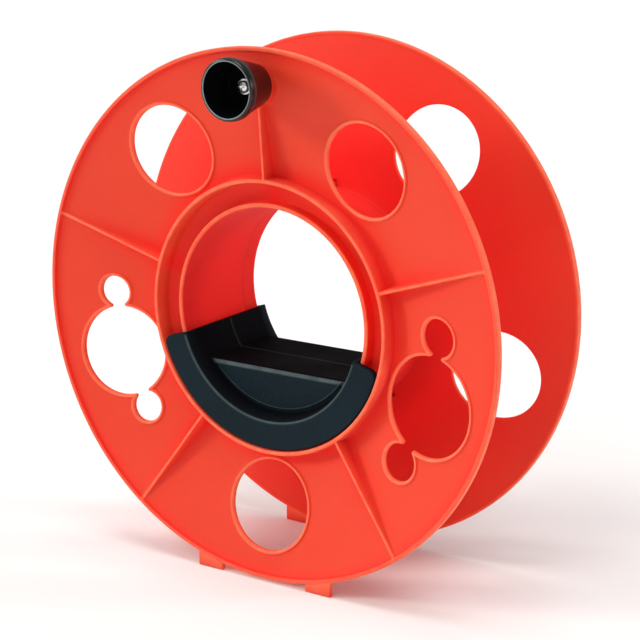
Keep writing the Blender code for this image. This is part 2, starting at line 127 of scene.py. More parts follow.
# ---- sizes of the fine surface: a ridge's section is (top half, foot half, crest radius, fillet) ----
HUB_RING_MIDDLE = 0.0845
HUB_RING_CREST = 0.0072
HUB_RING_OUTSIDE = (0.0013, 0.0021, 0.0009, 0.0014)
HUB_RING_INSIDE = (0.0013, 0.0017, 0.0009, 0.0010)
RIM_SECTION = (0.0, 0.0003, 0.0007, 0.0008)
RIM_CORNER = 0.0008
RIM_BACK_CORNER = 0.0007
RIB_SECTION = (0.0009, 0.0015, 0.0006, 0.0010)
RIB_SPAN = (0.0845, 0.1632)
RIB_TOPS = (0.0078, 0.0014)
BOSS_SECTION = (0.0120, 0.0123, 0.0010, 0.0012)
BEAD_RISE = 0.0010
BEAD_SECTION = (0.0020, 0.0023, 0.0006, 0.0005)
BEAD_CORNER = 0.0010
SLOT_CORNER = 0.0002
HOLE_BACK_CORNER = 0.0006
GUTTER_FILLET = 0.0010
DRUM_FILLET = 0.0012
NECK_LIP_RADIUS = 0.0012
SMALLEST_LIP = 0.0002
SMALLEST = 1e-7
WELD = 1e-6
ON_EDGE = 2e-6
SUPPORT = 0.0009
OPENING_REACH = 0.0060
RIB_OVERLAP = 0.01
WIDE_FACE = 2e-5
TURN_STEPS = 360
ROUND_STEPS = 64
ROUND_HOLE_STEPS = 120
PLUG_HOLE_STEPS = 52
CORD_HOLE_STEPS = 48
NECK_STEPS = 8

# ---- painted highlights, painted light and painted shade of the flange: a pale line is (half width, fade) ----
RING_PALE = (0.0009, 0.0007)
RIB_PALE = (0.0006, 0.0005)
BEAD_PALE = (0.0012, 0.0010)
SURFACE_PALE = (0.0002, 0.0004)
RIM_PALE = (0.0002, 0.0010)
RIM_PALE_FADE = 0.0004
RIM_PALE_SHARE = 0.45
LIP_PALE = (0.0012, 0.0004)
LIP_PALE_DEPTH = (0.0004, 0.0008)
OUTSIDE = (0.0003, 0.0008)
RING_HALF = 0.0020
RING_SHADE = 0.0120
RIM_SHADE = (0.0004, 0.0014)
RIB_SHADE = 0.0100
CORNER_SHADE = 0.8
GUTTER_PAINTED_LIGHT = 0.5
BETWEEN_PAINTED_LIGHT = 0.7
BETWEEN_START = 0.090


def plate_front(radius):
    """The depth of the flange plate's outer face: a shallow cone, furthest forward at the rim."""
    return PLATE_AT_RIM + PLATE_SLOPE * (RIM_INNER - radius)


# ---- outlines and sections ----
def on_circle(centre, radius, angle):
    return centre[0] + radius * math.cos(angle), centre[1] + radius * math.sin(angle)


def on_pitch(degrees):
    return on_circle((0.0, 0.0), OPENING_PITCH, math.radians(degrees))


def arc(centre, radius, start, end, steps):
    return [on_circle(centre, radius, start + (end - start) * i / steps) for i in range(steps + 1)]


def across_radius(along, side, turn):
    """The point this far along a radius and this far to its side."""
    x = along * math.cos(turn) - side * math.sin(turn)
    return x, along * math.sin(turn) + side * math.cos(turn)


def circle(centre, radius, steps):
    return [on_circle(centre, radius, 2 * math.pi * i / steps) for i in range(steps)]


def corner_angle(side, base, opposite):
    return math.acos((side**2 + base**2 - opposite**2) / (2 * side * base))


def rounded(corners, steps=5, closed=True):
    """An outline from (u, v, radius) corners, each cut by an arc that touches both of its sides."""
    made = []
    count = len(corners)
    for i, (u, v, radius) in enumerate(corners):
        if radius == 0 or (not closed and i in (0, count - 1)):
            made.append((u, v))
            continue
        here = Vector((u, v))
        before = (Vector(corners[i - 1][:2]) - here).normalized()
        after = (Vector(corners[(i + 1) % count][:2]) - here).normalized()
        half = before.angle(after) / 2
        middle = here + (before + after).normalized() * (radius / math.sin(half))
        start = here + before * (radius / math.tan(half)) - middle
        end = here + after * (radius / math.tan(half)) - middle
        first = math.atan2(start.y, start.x)
        turn = (math.atan2(end.y, end.x) - first + math.pi) % (2 * math.pi) - math.pi
        made += arc(middle, radius, first, first + turn, steps)
    return made


def supported(outline, closed=True):
    """Adds a point near each end of every long side, so that the paler edges stay narrow."""
    made = []
    count = len(outline)
    for i, here in enumerate(outline):
        made.append(here)
        if i == count - 1 and not closed:
            break
        there = outline[(i + 1) % count]
        length = math.dist(here, there)
        if length > 3 * SUPPORT:
            for share in (SUPPORT / length, 1 - SUPPORT / length):
                made.append(tuple(a + (b - a) * share for a, b in zip(here, there)))
    return made


def round_opening(degrees, grow):
    return circle(on_pitch(degrees), ROUND_HOLE_RADIUS + grow, ROUND_HOLE_STEPS)


def plug_opening(degrees, grow):
    """A round opening that runs into a small one on each side, with rounded points of material between."""
    plug_radius, cord_radius, spacing = FRONT_PLUG_HOLES[degrees]
    big = plug_radius + grow
    small = cord_radius + grow
    lip = max(NECK_LIP_RADIUS - grow, SMALLEST_LIP)
    centre = on_pitch(degrees)
    turn = math.degrees(2 * math.asin(spacing / 2 / OPENING_PITCH))
    at_big = corner_angle(big + lip, spacing, small + lip)
    at_small = corner_angle(small + lip, spacing, big + lip)
    partners = [on_pitch(degrees - turn), on_pitch(degrees + turn)]
    headings = [math.atan2(p[1] - centre[1], p[0] - centre[0]) for p in partners]
    points = []
    for k in (0, 1):
        heading = headings[k]
        entry = on_circle(centre, big + lip, heading - at_big)
        leave = on_circle(centre, big + lip, heading + at_big)
        points += arc(entry, lip, heading + math.pi - at_big, heading + at_small, NECK_STEPS)
        round_start = heading + math.pi + at_small
        round_end = heading + 3 * math.pi - at_small
        points += arc(partners[k], small, round_start, round_end, CORD_HOLE_STEPS)[1:-1]
        points += arc(leave, lip, heading - at_small, heading - math.pi + at_big, NECK_STEPS)
        sweep = (headings[1 - k] - heading) % (2 * math.pi)
        points += arc(centre, big, heading + at_big, heading + sweep - at_big, PLUG_HOLE_STEPS)[1:-1]
    return points


def slot_opening(degrees, grow):
    """A slot that a snap hook passes through."""
    half = HOOK_HALF_WIDTH + GAP + grow
    inner = SLOT_INNER - grow
    outer = SLOT_OUTER + grow
    ends = ((inner, -half), (outer, -half), (outer, half), (inner, half))
    turn = math.radians(degrees)
    points = []
    for i, (r, s) in enumerate(ends):
        r_next, s_next = ends[(i + 1) % 4]
        for share in (0.0, 0.25, 0.5, 0.75):
            a = r + (r_next - r) * share
            b = s + (s_next - s) * share
            points.append(across_radius(a, b, turn))
    return points


# ---- heights of the flange ----
def ridge(distance, height, section):
    """How far a ridge with a rounded crest and filleted foot stands off the plate."""
    top, foot, crest, fillet = section
    share = np.clip(height / (crest + fillet), 0.0, 1.0)
    over = np.clip((distance - top + crest) / crest, 0.0, 1.0)
    side = np.clip((distance - top) / (foot - top), 0.0, 1.0)
    under = np.clip((distance - foot) / fillet, 0.0, 1.0)
    drop = crest * share * (1 - np.sqrt(1 - over**2))
    drop = drop + (height - (crest + fillet) * share) * side
    return height - drop - fillet * share * np.sqrt(1 - (1 - under) ** 2)


def rounding(distance, radius):
    """How far a rounded edge falls away at this distance from it."""
    distance = np.where(distance < ON_EDGE, 0.0, distance)
    inside = np.clip(1 - distance / radius, 0.0, 1.0)
    return radius * (1 - np.sqrt(1 - inside**2))


def outline_distance(x, z, outline):
    """Distance to a closed outline, and whether each point lies inside it."""
    a = np.array(outline)
    step = np.roll(a, -1, axis=0) - a
    px = x[:, None] - a[:, 0]
    pz = z[:, None] - a[:, 1]
    along = np.clip((px * step[:, 0] + pz * step[:, 1]) / (step**2).sum(1), 0.0, 1.0)
    distance = np.hypot(px - along * step[:, 0], pz - along * step[:, 1]).min(1)
    end_z = a[:, 1] + step[:, 1]
    spans = (a[:, 1] > z[:, None]) != (end_z > z[:, None])
    rise = np.where(step[:, 1] == 0, 1.0, step[:, 1])
    crossing = a[:, 0] + (z[:, None] - a[:, 1]) * step[:, 0] / rise
    return distance, (spans & (x[:, None] < crossing)).sum(1) % 2 == 1


class Opening:
    """A hole through a flange, with a raised bead round it or a plain edge."""

    def __init__(self, shape, degrees, bead):
        self.shape = shape
        self.degrees = degrees
        self.bead = bead
        self.outline = shape(degrees, 0.0)
        self.middle = np.mean(self.outline, axis=0)
        self.reach = max(math.dist(self.middle, p) for p in self.outline) + OPENING_REACH

    def grown(self, grow):
        return self.shape(self.degrees, grow)

    def distance(self, x, z):
        """Distance outwards from the hole's edge, and negative inside the hole."""
        made = np.full(x.shape, 1.0)
        near = np.hypot(x - self.middle[0], z - self.middle[1]) < self.reach
        distance, inside = outline_distance(x[near], z[near], self.outline)
        made[near] = np.where(inside, -distance, distance)
        return made


def rib_offsets(x, z, degrees):
    turn = math.radians(degrees)
    along = x * math.cos(turn) + z * math.sin(turn)
    across = np.abs(z * math.cos(turn) - x * math.sin(turn))
    return along, across


def flange_rise(x, z, openings, has_boss):
    """How far everything moulded on the plate's outer face stands off it."""
    radius = np.hypot(x, z)
    plate = plate_front(radius)
    off_ring = radius - HUB_RING_MIDDLE
    ring_height = plate - HUB_RING_CREST
    outside = ridge(off_ring, ring_height, HUB_RING_OUTSIDE)
    inside = ridge(-off_ring, ring_height, HUB_RING_INSIDE)
    rises = [np.where(off_ring > 0, outside, inside)]
    rises.append(ridge(RIM_INNER - radius, plate, RIM_SECTION))
    rises.append(rounding(radius - DRUM_RADIUS, GUTTER_FILLET))
    for degrees in RIB_ANGLES:
        along, across = rib_offsets(x, z, degrees)
        share = (along - RIB_SPAN[0]) / (RIB_SPAN[1] - RIB_SPAN[0])
        height = plate - (RIB_TOPS[0] + (RIB_TOPS[1] - RIB_TOPS[0]) * share)
        height = np.where(share > -RIB_OVERLAP, np.maximum(height, 0.0), 0.0)
        if has_boss and degrees == KNOB_RIB:
            height = np.where(along < KNOB_OFFSET, height, 0.0)
        rises.append(ridge(across, height, RIB_SECTION))
    if has_boss:
        rises.append(ridge(np.hypot(x, z - KNOB_OFFSET), plate - BOSS_FACE, BOSS_SECTION))
    for opening in openings:
        if opening.bead:
            distance = np.maximum(opening.distance(x, z), 0.0)
            rises.append(ridge(distance, np.full(x.shape, BEAD_RISE), BEAD_SECTION))
    return np.maximum.reduce(rises)


def front_depth(x, z, openings, has_boss):
    radius = np.hypot(x, z)
    depth = plate_front(radius) - flange_rise(x, z, openings, has_boss)
    for opening in openings:
        corner = BEAD_CORNER if opening.bead else SLOT_CORNER
        depth = depth + rounding(np.maximum(opening.distance(x, z), 0.0), corner)
    return depth + rounding(FLANGE_RADIUS - radius, RIM_CORNER)


def band(distance, half, fade):
    """1 within half of a line, falling to 0 over the fade."""
    return 1 - np.clip((np.abs(distance) - half) / fade, 0.0, 1.0)


def mark(made, name, values):
    """Stores a value on each point, for the materials to read."""
    made.data.attributes.new(name, "FLOAT", "POINT").data.foreach_set("value", values.astype(np.float32))


def points_of(made):
    """The x, y and z of every point, and its distance from the reel's axis."""
    x, y, z = np.array([vert.co for vert in made.data.vertices]).T
    return x, y, z, np.hypot(x, z)


def corner_shade(x, z, radius):
    """1 in the corners at the feet of the ring, the ribs and the rim, falling to 0 on the open plate."""
    off_ring = np.maximum(radius - HUB_RING_MIDDLE - RING_HALF, 0.0)
    corners = [band(off_ring, 0.0, RING_SHADE) * (radius > HUB_RING_MIDDLE)]
    corners.append(band(RIM_INNER - radius, *RIM_SHADE) * (radius < RIM_INNER))
    for degrees in RIB_ANGLES:
        along, across = rib_offsets(x, z, degrees)
        off_rib = np.maximum(across - RIB_SECTION[1], 0.0)
        share = np.clip((RIB_SPAN[1] - along) / (RIB_SPAN[1] - RIB_SPAN[0]), 0.0, 1.0)
        corners.append(band(off_rib, 0.0, RIB_SHADE) * share * (along > 0.0))
    return np.maximum.reduce(corners)


def add_flange_painted_light(made, openings, has_boss):
    """Marks painted highlights on the crests, the rim and the drum lip, and painted light: paler on the
    outer faces, with painted shade in the gutter and in the corners, and paler towards the rim between the
    flanges.
    """
    x, y, z, radius = points_of(made)
    depth = y - front_depth(x, z, openings, has_boss)
    # painted highlights along the hub ring's crest, the rib tops and the bead crests, and across the rim
    crests = [band(radius - HUB_RING_MIDDLE, *RING_PALE)]
    crests.append(RIM_PALE_SHARE * np.clip((radius - RIM_INNER) / RIM_PALE_FADE, 0.0, 1.0))
    for degrees in RIB_ANGLES:
        along, across = rib_offsets(x, z, degrees)
        reach = KNOB_OFFSET if has_boss and degrees == KNOB_RIB else RIB_SPAN[1]
        crests.append(band(across, *RIB_PALE) * ((along > RIB_SPAN[0]) & (along < reach)))
    for opening in openings:
        if opening.bead:
            crests.append(band(opening.distance(x, z), *BEAD_PALE))
    painted_highlight = np.maximum.reduce(crests) * band(depth, *SURFACE_PALE)
    # painted highlights on the rim's outer wall and on the front edge of the drum lip
    rim = band(radius - FLANGE_RADIUS, *RIM_PALE)
    lip = band(radius - (BORE_RADIUS + DRUM_RADIUS) / 2, *LIP_PALE) * band(y - LIP_FRONT, *LIP_PALE_DEPTH)
    mark(made, "painted_highlight", np.maximum.reduce([painted_highlight, rim, lip]))
    # painted light on the outer faces, at half strength in the gutter, with painted shade in the corners at
    # the feet of the ring, the ribs and the rim
    outside = band(np.maximum(depth, 0.0), *OUTSIDE) * (radius > DRUM_RADIUS - GAP)
    outside = outside * np.where(radius < HUB_RING_MIDDLE - RING_HALF, GUTTER_PAINTED_LIGHT, 1.0)
    outside = outside * (1 - CORNER_SHADE * corner_shade(x, z, radius))
    # painted light on the inner faces between the flanges, rising towards the rim
    between = np.clip((radius - BETWEEN_START) / (FLANGE_RADIUS - BETWEEN_START), 0.0, 1.0)
    between = BETWEEN_PAINTED_LIGHT * between * (depth > PLATE_WALL / 2) * (y < NECK_END - PAST)
    mark(made, "painted_light", np.maximum(outside, between))


def back_depth(x, z, openings):
    radius = np.hypot(x, z)
    depth = plate_front(np.minimum(radius, RIM_INNER)) + PLATE_WALL
    depth = depth + rounding(radius - DRUM_RADIUS, DRUM_FILLET)
    for opening in openings:
        corner = HOLE_BACK_CORNER if opening.bead else SLOT_CORNER
        depth = depth - rounding(np.maximum(opening.distance(x, z), 0.0), corner)
    return depth - rounding(FLANGE_RADIUS - radius, RIM_BACK_CORNER)


# ---- lines that the flange's triangles follow ----
ARC_SHARES = (0.0, 0.08, 0.3, 0.62, 1.0)
GUTTER_LINES = [0.0755, 0.0780]
PLATE_LINES = [0.095 + 0.006 * i for i in range(11)]
BACK_LINES = [0.082, 0.088]
BOSS_LINES = [0.004, 0.008]
HOLE_BACK_LINE = 0.0016
BOSS_STEPS = 96
RIB_STEPS = 40


def ridge_lines(section):
    """Distances from a ridge's middle at which its section bends."""
    top, foot, crest, fillet = section
    lines = [top - crest * share for share in reversed(ARC_SHARES)]
    return lines + [foot + fillet * share for share in ARC_SHARES]


def clear_runs(line, closed, clear):
    """The stretches of a line whose points are all clear."""
    points = np.array(line)
    good = clear(points[:, 0], points[:, 1])
    if good.all():
        return [(line, closed)]
    if closed:
        first = int(np.argmin(good))
        line = line[first:] + line[:first]
        good = np.roll(good, -first)
    runs = []
    run = []
    for point, keep in zip(line, good):
        if keep:
            run.append(point)
        elif run:
            runs.append((run, False))
            run = []
    if run:
        runs.append((run, False))
    return runs


def triangulated(lines, openings):
    """Triangles between the lines, from the drum to the rim, with the openings left out."""
    points = []
    edges = []
    for line, closed in lines:
        start = len(points)
        points += [Vector(point) for point in line]
        edges += [(i, i + 1) for i in range(start, len(points) - 1)]
        if closed:
            edges.append((len(points) - 1, start))
    verts, _, faces, _, _, _ = delaunay_2d_cdt(points, edges, [], 0, SMALLEST, False)
    flat = np.array([tuple(vert) for vert in verts])
    faces = np.array(faces)
    x, z = flat[faces].mean(1).T
    keep = np.hypot(x, z) > DRUM_RADIUS * math.cos(math.pi / TURN_STEPS)
    for opening in openings:
        keep &= opening.distance(x, z) > 0
    return flat, faces[keep]


def flange_lines(openings, has_boss, outer_face):
    """Every line on one face of the flange."""
    origin = (0.0, 0.0)
    bead_edge = BEAD_SECTION[1] + BEAD_SECTION[3]

    def clear(x, z):
        good = np.full(x.shape, True)
        for opening in openings:
            margin = bead_edge + GAP if opening.bead else GAP / 2
            good &= opening.distance(x, z) > margin
        if has_boss and outer_face:
            good &= np.hypot(x, z - KNOB_OFFSET) > BOSS_SECTION[1] + BOSS_SECTION[3] + GAP
        return good

    lines = [(circle(origin, radius, TURN_STEPS), True) for radius in (DRUM_RADIUS, FLANGE_RADIUS)]
    radii = [DRUM_RADIUS + GUTTER_FILLET * share for share in ARC_SHARES[1:]] + GUTTER_LINES + PLATE_LINES
    if outer_face:
        radii += [HUB_RING_MIDDLE - d for d in ridge_lines(HUB_RING_INSIDE)]
        radii += [HUB_RING_MIDDLE + d for d in ridge_lines(HUB_RING_OUTSIDE)] + [HUB_RING_MIDDLE]
        radii += [RIM_INNER - d for d in ridge_lines(RIM_SECTION)]
        radii += [FLANGE_RADIUS - RIM_CORNER * share for share in ARC_SHARES[1:]]
    else:
        radii += BACK_LINES + [RIM_INNER - GAP, RIM_INNER, RIM_INNER + GAP]
        radii += [FLANGE_RADIUS - RIM_BACK_CORNER * share for share in ARC_SHARES[1:]]
    for radius in radii:
        lines += clear_runs(circle(origin, radius, TURN_STEPS), True, clear)
    for opening in openings:
        grows = [0.0, SLOT_CORNER]
        if opening.bead:
            grows = [BEAD_CORNER * share for share in ARC_SHARES] + ridge_lines(BEAD_SECTION)
        if not outer_face and opening.bead:
            grows = [HOLE_BACK_CORNER * share for share in ARC_SHARES] + [HOLE_BACK_LINE, bead_edge]
        lines += [(opening.grown(grow), True) for grow in grows]
    if outer_face:
        for degrees in RIB_ANGLES:
            lines += rib_lines(degrees, has_boss and degrees == KNOB_RIB, clear)
    if outer_face and has_boss:
        for distance in ridge_lines(BOSS_SECTION) + BOSS_LINES:
            lines.append((circle((0.0, KNOB_OFFSET), distance, BOSS_STEPS), True))
    return lines


def rib_lines(degrees, under_boss, clear):
    turn = math.radians(degrees)
    reach = KNOB_OFFSET - BOSS_RADIUS if under_boss else RIB_SPAN[1] - GAP
    lines = []
    for distance in [0.0] + ridge_lines(RIB_SECTION):
        for side in (-distance, distance) if distance else (0.0,):
            line = []
            for i in range(RIB_STEPS + 1):
                along = RIB_SPAN[0] + (reach - RIB_SPAN[0]) * i / RIB_STEPS
                line.append(across_radius(along, side, turn))
            lines += clear_runs(line, False, clear)
    return lines


# ---- meshes ----
def make_object(name, verts, faces):
    mesh = bpy.data.meshes.new(name)
    mesh.from_pydata(verts, [], faces)
    made = bpy.data.objects.new(name, mesh)
    bpy.context.scene.collection.objects.link(made)
    weld(made)
    return made


@contextmanager
def editing(made):
    """An object's mesh, open for changes that are written back at the end."""
    bm = bmesh.new()
    bm.from_mesh(made.data)
    yield bm
    bm.to_mesh(made.data)
    bm.free()


def weld(made):
    with editing(made) as bm:
        bmesh.ops.remove_doubles(bm, verts=bm.verts, dist=WELD)
        bmesh.ops.dissolve_degenerate(bm, edges=bm.edges, dist=SMALLEST)
        bmesh.ops.recalc_face_normals(bm, faces=bm.faces)


def turned_faces(section, steps, centre=(0.0, 0.0), closed=True):
    """Vertices and faces of a (radius, y) section turned round an axis along Y."""
    count = len(section)
    verts = []
    for step in range(steps):
        angle = 2 * math.pi * step / steps
        for radius, y in section:
            verts.append((centre[0] + radius * math.cos(angle), y, centre[1] + radius * math.sin(angle)))
    faces = []
    for step in range(steps):
        here = step * count
        there = (step + 1) % steps * count
        for i in range(count if closed else count - 1):
            j = (i + 1) % count
            faces.append((here + i, here + j, there + j, there + i))
    return verts, faces


def turned(name, section, steps, centre):
    return make_object(name, *turned_faces(supported(section), steps, centre))


def turned_rod(name, section, steps, centre=(0.0, 0.0)):
    """An open section turned round, with a flat disc at each end."""
    verts, faces = turned_faces(section, steps, centre, closed=False)
    count = len(section)
    faces.append([step * count for step in range(steps)])
    faces.append([step * count + count - 1 for step in range(steps)])
    return make_object(name, verts, faces)


def lofted(name, loops):
    """Loops of (x, y, z) points with the same count, joined in order and closed at both ends."""
    count = len(loops[0])
    verts = [point for loop in loops for point in loop]
    faces = [list(range(count)), [(len(loops) - 1) * count + i for i in range(count)]]
    for turn in range(len(loops) - 1):
        for i in range(count):
            j = (i + 1) % count
            here = turn * count
            faces.append((here + i, here + j, here + count + j, here + count + i))
    return make_object(name, verts, faces)


def prism(name, outline, near, far):
    return lofted(name, [[(x, y, z) for x, z in outline] for y in (near, far)])


def bevelled(made, width, segments=3, angle=50):
    """Rounds the edges sharper than the angle."""
    modifier = made.modifiers.new("edges", "BEVEL")
    modifier.width = width
    modifier.segments = segments
    modifier.limit_method = "ANGLE"
    modifier.angle_limit = math.radians(angle)
    return inset_flats(applied(made))


def inset_flats(made):
    """Gives every wide flat face a margin, so that the paler edges stay narrow."""
    with editing(made) as bm:
        wide = [face for face in bm.faces if face.calc_area() > WIDE_FACE]
        bmesh.ops.inset_individual(bm, faces=wide, thickness=SUPPORT)
    return made


def applied(made):
    graph = bpy.context.evaluated_depsgraph_get()
    mesh = bpy.data.meshes.new_from_object(made.evaluated_get(graph))
    made.modifiers.clear()
    made.data = mesh
    return made


def combine(target, tools, operation="UNION"):
    for tool in tools:
        modifier = target.modifiers.new("combine", "BOOLEAN")
        modifier.operation = operation
        modifier.solver = "MANIFOLD"
        modifier.object = tool
        applied(target)
        bpy.data.objects.remove(tool, do_unlink=True)
    return target


def flipped(made):
    """Turns a shape drawn from the front rim into one drawn from the rear rim."""
    with editing(made) as bm:
        for vert in bm.verts:
            vert.co.y = REEL_WIDTH - vert.co.y
        bmesh.ops.reverse_faces(bm, faces=bm.faces)
    return made


# ---- the two reel halves ----
def reel_half(name, openings, has_boss, bore_end):
    """A flange lifted from its two faces' triangles, joined to the turned hub."""
    verts = []
    faces = []
    depths = {
        True: lambda x, z: front_depth(x, z, openings, has_boss),
        False: lambda x, z: back_depth(x, z, openings),
    }
    for outer_face in (True, False):
        flat, triangles = triangulated(flange_lines(openings, has_boss, outer_face), openings)
        depth = depths[outer_face](flat[:, 0], flat[:, 1])
        start = len(verts)
        verts += [(x, y, z) for (x, z), y in zip(flat, depth)]
        faces += [tuple(int(i) + start for i in triangle) for triangle in triangles]
    loops = [circle((0.0, 0.0), FLANGE_RADIUS, TURN_STEPS)] + [opening.outline for opening in openings]
    for loop in loops:
        points = np.array(loop, dtype=np.float32).astype(float)
        start = len(verts)
        for outer_face in (True, False):
            depth = depths[outer_face](points[:, 0], points[:, 1])
            verts += [(x, y, z) for (x, z), y in zip(points, depth)]
        count = len(loop)
        for i in range(count):
            j = (i + 1) % count
            faces.append((start + i, start + j, start + count + j, start + count + i))
    edge = np.array([DRUM_RADIUS])
    zero = np.zeros(1)
    section = [
        (DRUM_RADIUS, float(depths[True](edge, zero)[0]), 0.0),
        (DRUM_RADIUS, LIP_FRONT, 0.0010),
        (BORE_RADIUS, LIP_FRONT, 0.0013),
        (BORE_RADIUS, bore_end, 0.0),
        (DRUM_RADIUS, bore_end, 0.0004),
        (DRUM_RADIUS, float(depths[False](edge, zero)[0]), 0.0),
    ]
    section = supported(rounded(section, closed=False), closed=False)
    hub_verts, hub_faces = turned_faces(section, TURN_STEPS, closed=False)
    faces += [tuple(i + len(verts) for i in face) for face in hub_faces]
    verts += hub_verts
    return make_object(name, verts, faces)


def foot(side):
    low, high = FOOT_X
    outline = [(low, FOOT_SOLE), (high, FOOT_SOLE)]
    outline += arc((0.0, 0.0), FOOT_ROOT, -math.acos(high / FOOT_ROOT), -math.acos(low / FOOT_ROOT), 6)
    return bevelled(prism("foot", [(side * x, z) for x, z in outline], *FOOT_Y), FOOT_BEVEL)


def hook(degrees):
    """A snap hook that stands on the end of the drum."""
    turn = math.radians(degrees)
    loops = []
    for side in (-HOOK_HALF_WIDTH, HOOK_HALF_WIDTH):
        places = [(across_radius(radius, side, turn), y) for radius, y in HOOK_SECTION]
        loops.append([(x, y, z) for (x, z), y in places])
    return bevelled(lofted("hook", loops), HOOK_BEVEL, segments=2, angle=30)


def knob_post():
    centre = (0.0, KNOB_OFFSET)
    section = [
        (PILOT_RADIUS, POST_ROOT, 0.0), (PILOT_RADIUS, POST_END, 0.0002),
        (POST_RADIUS, POST_END, 0.0003), (POST_RADIUS, POST_ROOT, 0.0),
    ]
    return turned("post", rounded(section), ROUND_STEPS, centre)


def front_half():
    openings = [Opening(round_opening, degrees, True) for degrees in FRONT_ROUND_HOLES]
    openings += [Opening(plug_opening, degrees, True) for degrees in FRONT_PLUG_HOLES]
    half = reel_half("front_half_moulding", openings, True, DRUM_END)
    combine(half, [foot(-1), foot(1), knob_post()] + [hook(degrees) for degrees in RIB_ANGLES])
    ends = [(PILOT_RADIUS, plate_front(KNOB_OFFSET)), (PILOT_RADIUS, POST_END - PAST)]
    combine(half, [turned_rod("pilot", ends, ROUND_STEPS, (0.0, KNOB_OFFSET))], "DIFFERENCE")
    add_flange_painted_light(half, openings, True)
    return half


def rear_half():
    openings = [Opening(round_opening, degrees, True) for degrees in REAR_ROUND_HOLES]
    openings += [Opening(slot_opening, degrees, False) for degrees in RIB_ANGLES]
    half = reel_half("rear_half_moulding", openings, False, NECK_END)
    combine(half, [foot(-1), foot(1)])
    add_flange_painted_light(half, openings, False)
    return flipped(half)


# ---- hand grip ----
ARC_FRONT = 0.0079
ARC_INNER = 0.0648
ARC_INNER_ROUND = 0.0014
ARC_SECTION = (
    (ARC_INNER, ARC_FRONT, ARC_INNER_ROUND), (ARC_OUTER, ARC_FRONT, 0.0009), (ARC_OUTER, 0.0120, 0.0005),
    (0.0669, 0.0120, 0.0006), (0.0669, HALF_END, 0.0004), (0.0614, HALF_END, 0.0004),
    (0.0622, GRIP_FACE, 0.0020),
)
ARC_EDGE = 0.0004
ARC_TIP_BAND = 0.0020
ARC_WEAR_TOP = -0.0190
ARC_MIDDLE_STEPS = 150
ARC_TIP_STEPS = 8
EDGE_STEPS = 4
CHORD_STEPS = 90
HANDLE_RADIUS = 0.0594
HANDLE_ROOT = 0.0635
HANDLE_TOP_ROUND = 0.0032
HANDLE_LOWER_ROUND = 0.0014
HANDLE_GROOVE = 0.0014
SEAM_ROUND = 0.0003
GRIP_HOLLOW = 0.0637
BOSS_FRONT_RADIUS = 0.0045
BOSS_REAR_RADIUS = 0.0060
COUNTERBORE = 0.0042
CREST_PALE = (0.45, 0.40)
SEAM_PALE = (0.0002, 0.0004)
ARC_PALE_SHARE = 0.8
SEAM_PALE_SHARE = 0.4
GRIP_LEVEL = (0.0012, 0.0012)


def inset(section, amount):
    """A closed section with every side moved inwards."""
    a = np.array(section)
    before = a - np.roll(a, 1, axis=0)
    after = np.roll(a, -1, axis=0) - a
    before /= np.linalg.norm(before, axis=1)[:, None]
    after /= np.linalg.norm(after, axis=1)[:, None]
    area = (a[:, 0] * np.roll(a[:, 1], -1) - np.roll(a[:, 0], -1) * a[:, 1]).sum()
    side = 1.0 if area > 0 else -1.0
    normals = side * np.stack([-before[:, 1] - after[:, 1], before[:, 0] + after[:, 0]], axis=1)
    share = 2.0 / (normals**2).sum(1)
    return a + normals * (amount * share)[:, None]


def corner_depths(radius, steps, first=0):
    """Distances from a face at which to draw the corner of this radius that runs into it."""
    return [radius * (1 - math.cos(math.pi / 2 * k / steps)) for k in range(first, steps + 1)]


def cradle_shell():
    """The arc plate and the cradle wall behind it, swept from tip to tip with rounded outer corners."""
    section = supported(rounded(ARC_SECTION))
    tip = corner_depths(ARC_TIP_RADIUS, ARC_TIP_STEPS)
    starts = sorted(set(tip + corner_depths(ARC_EDGE, EDGE_STEPS, first=1)))
    half = math.radians(ARC_HALF_ANGLE)
    span = 2 * half * ARC_OUTER
    straight = span - 2 * starts[-1]
    middle = [starts[-1] + straight * k / ARC_MIDDLE_STEPS for k in range(1, ARC_MIDDLE_STEPS)]
    loops = []
    for place in starts + middle + [span - t for t in reversed(starts)]:
        from_end = min(place, span - place)
        round_left = max(ARC_TIP_RADIUS - from_end, 0.0)
        cut = ARC_TIP_RADIUS - math.sqrt(ARC_TIP_RADIUS**2 - round_left**2)
        edge_left = max(ARC_EDGE - from_end, 0.0)
        angle = place / ARC_OUTER - math.pi / 2 - half
        loop = []
        for radius, y in inset(section, ARC_EDGE - math.sqrt(ARC_EDGE**2 - edge_left**2)):
            if radius > ARC_OUTER - ARC_TIP_BAND:
                radius -= cut
            loop.append((radius * math.cos(angle), y, radius * math.sin(angle)))
        loops.append(loop)
    return lofted("cradle", loops)


def chord_outline(radius, top):
    """The part of a disc on the axis that lies below the level top."""
    reach = math.asin(-top / radius)
    return arc((0.0, 0.0), radius, -math.pi + reach, -reach, CHORD_STEPS)


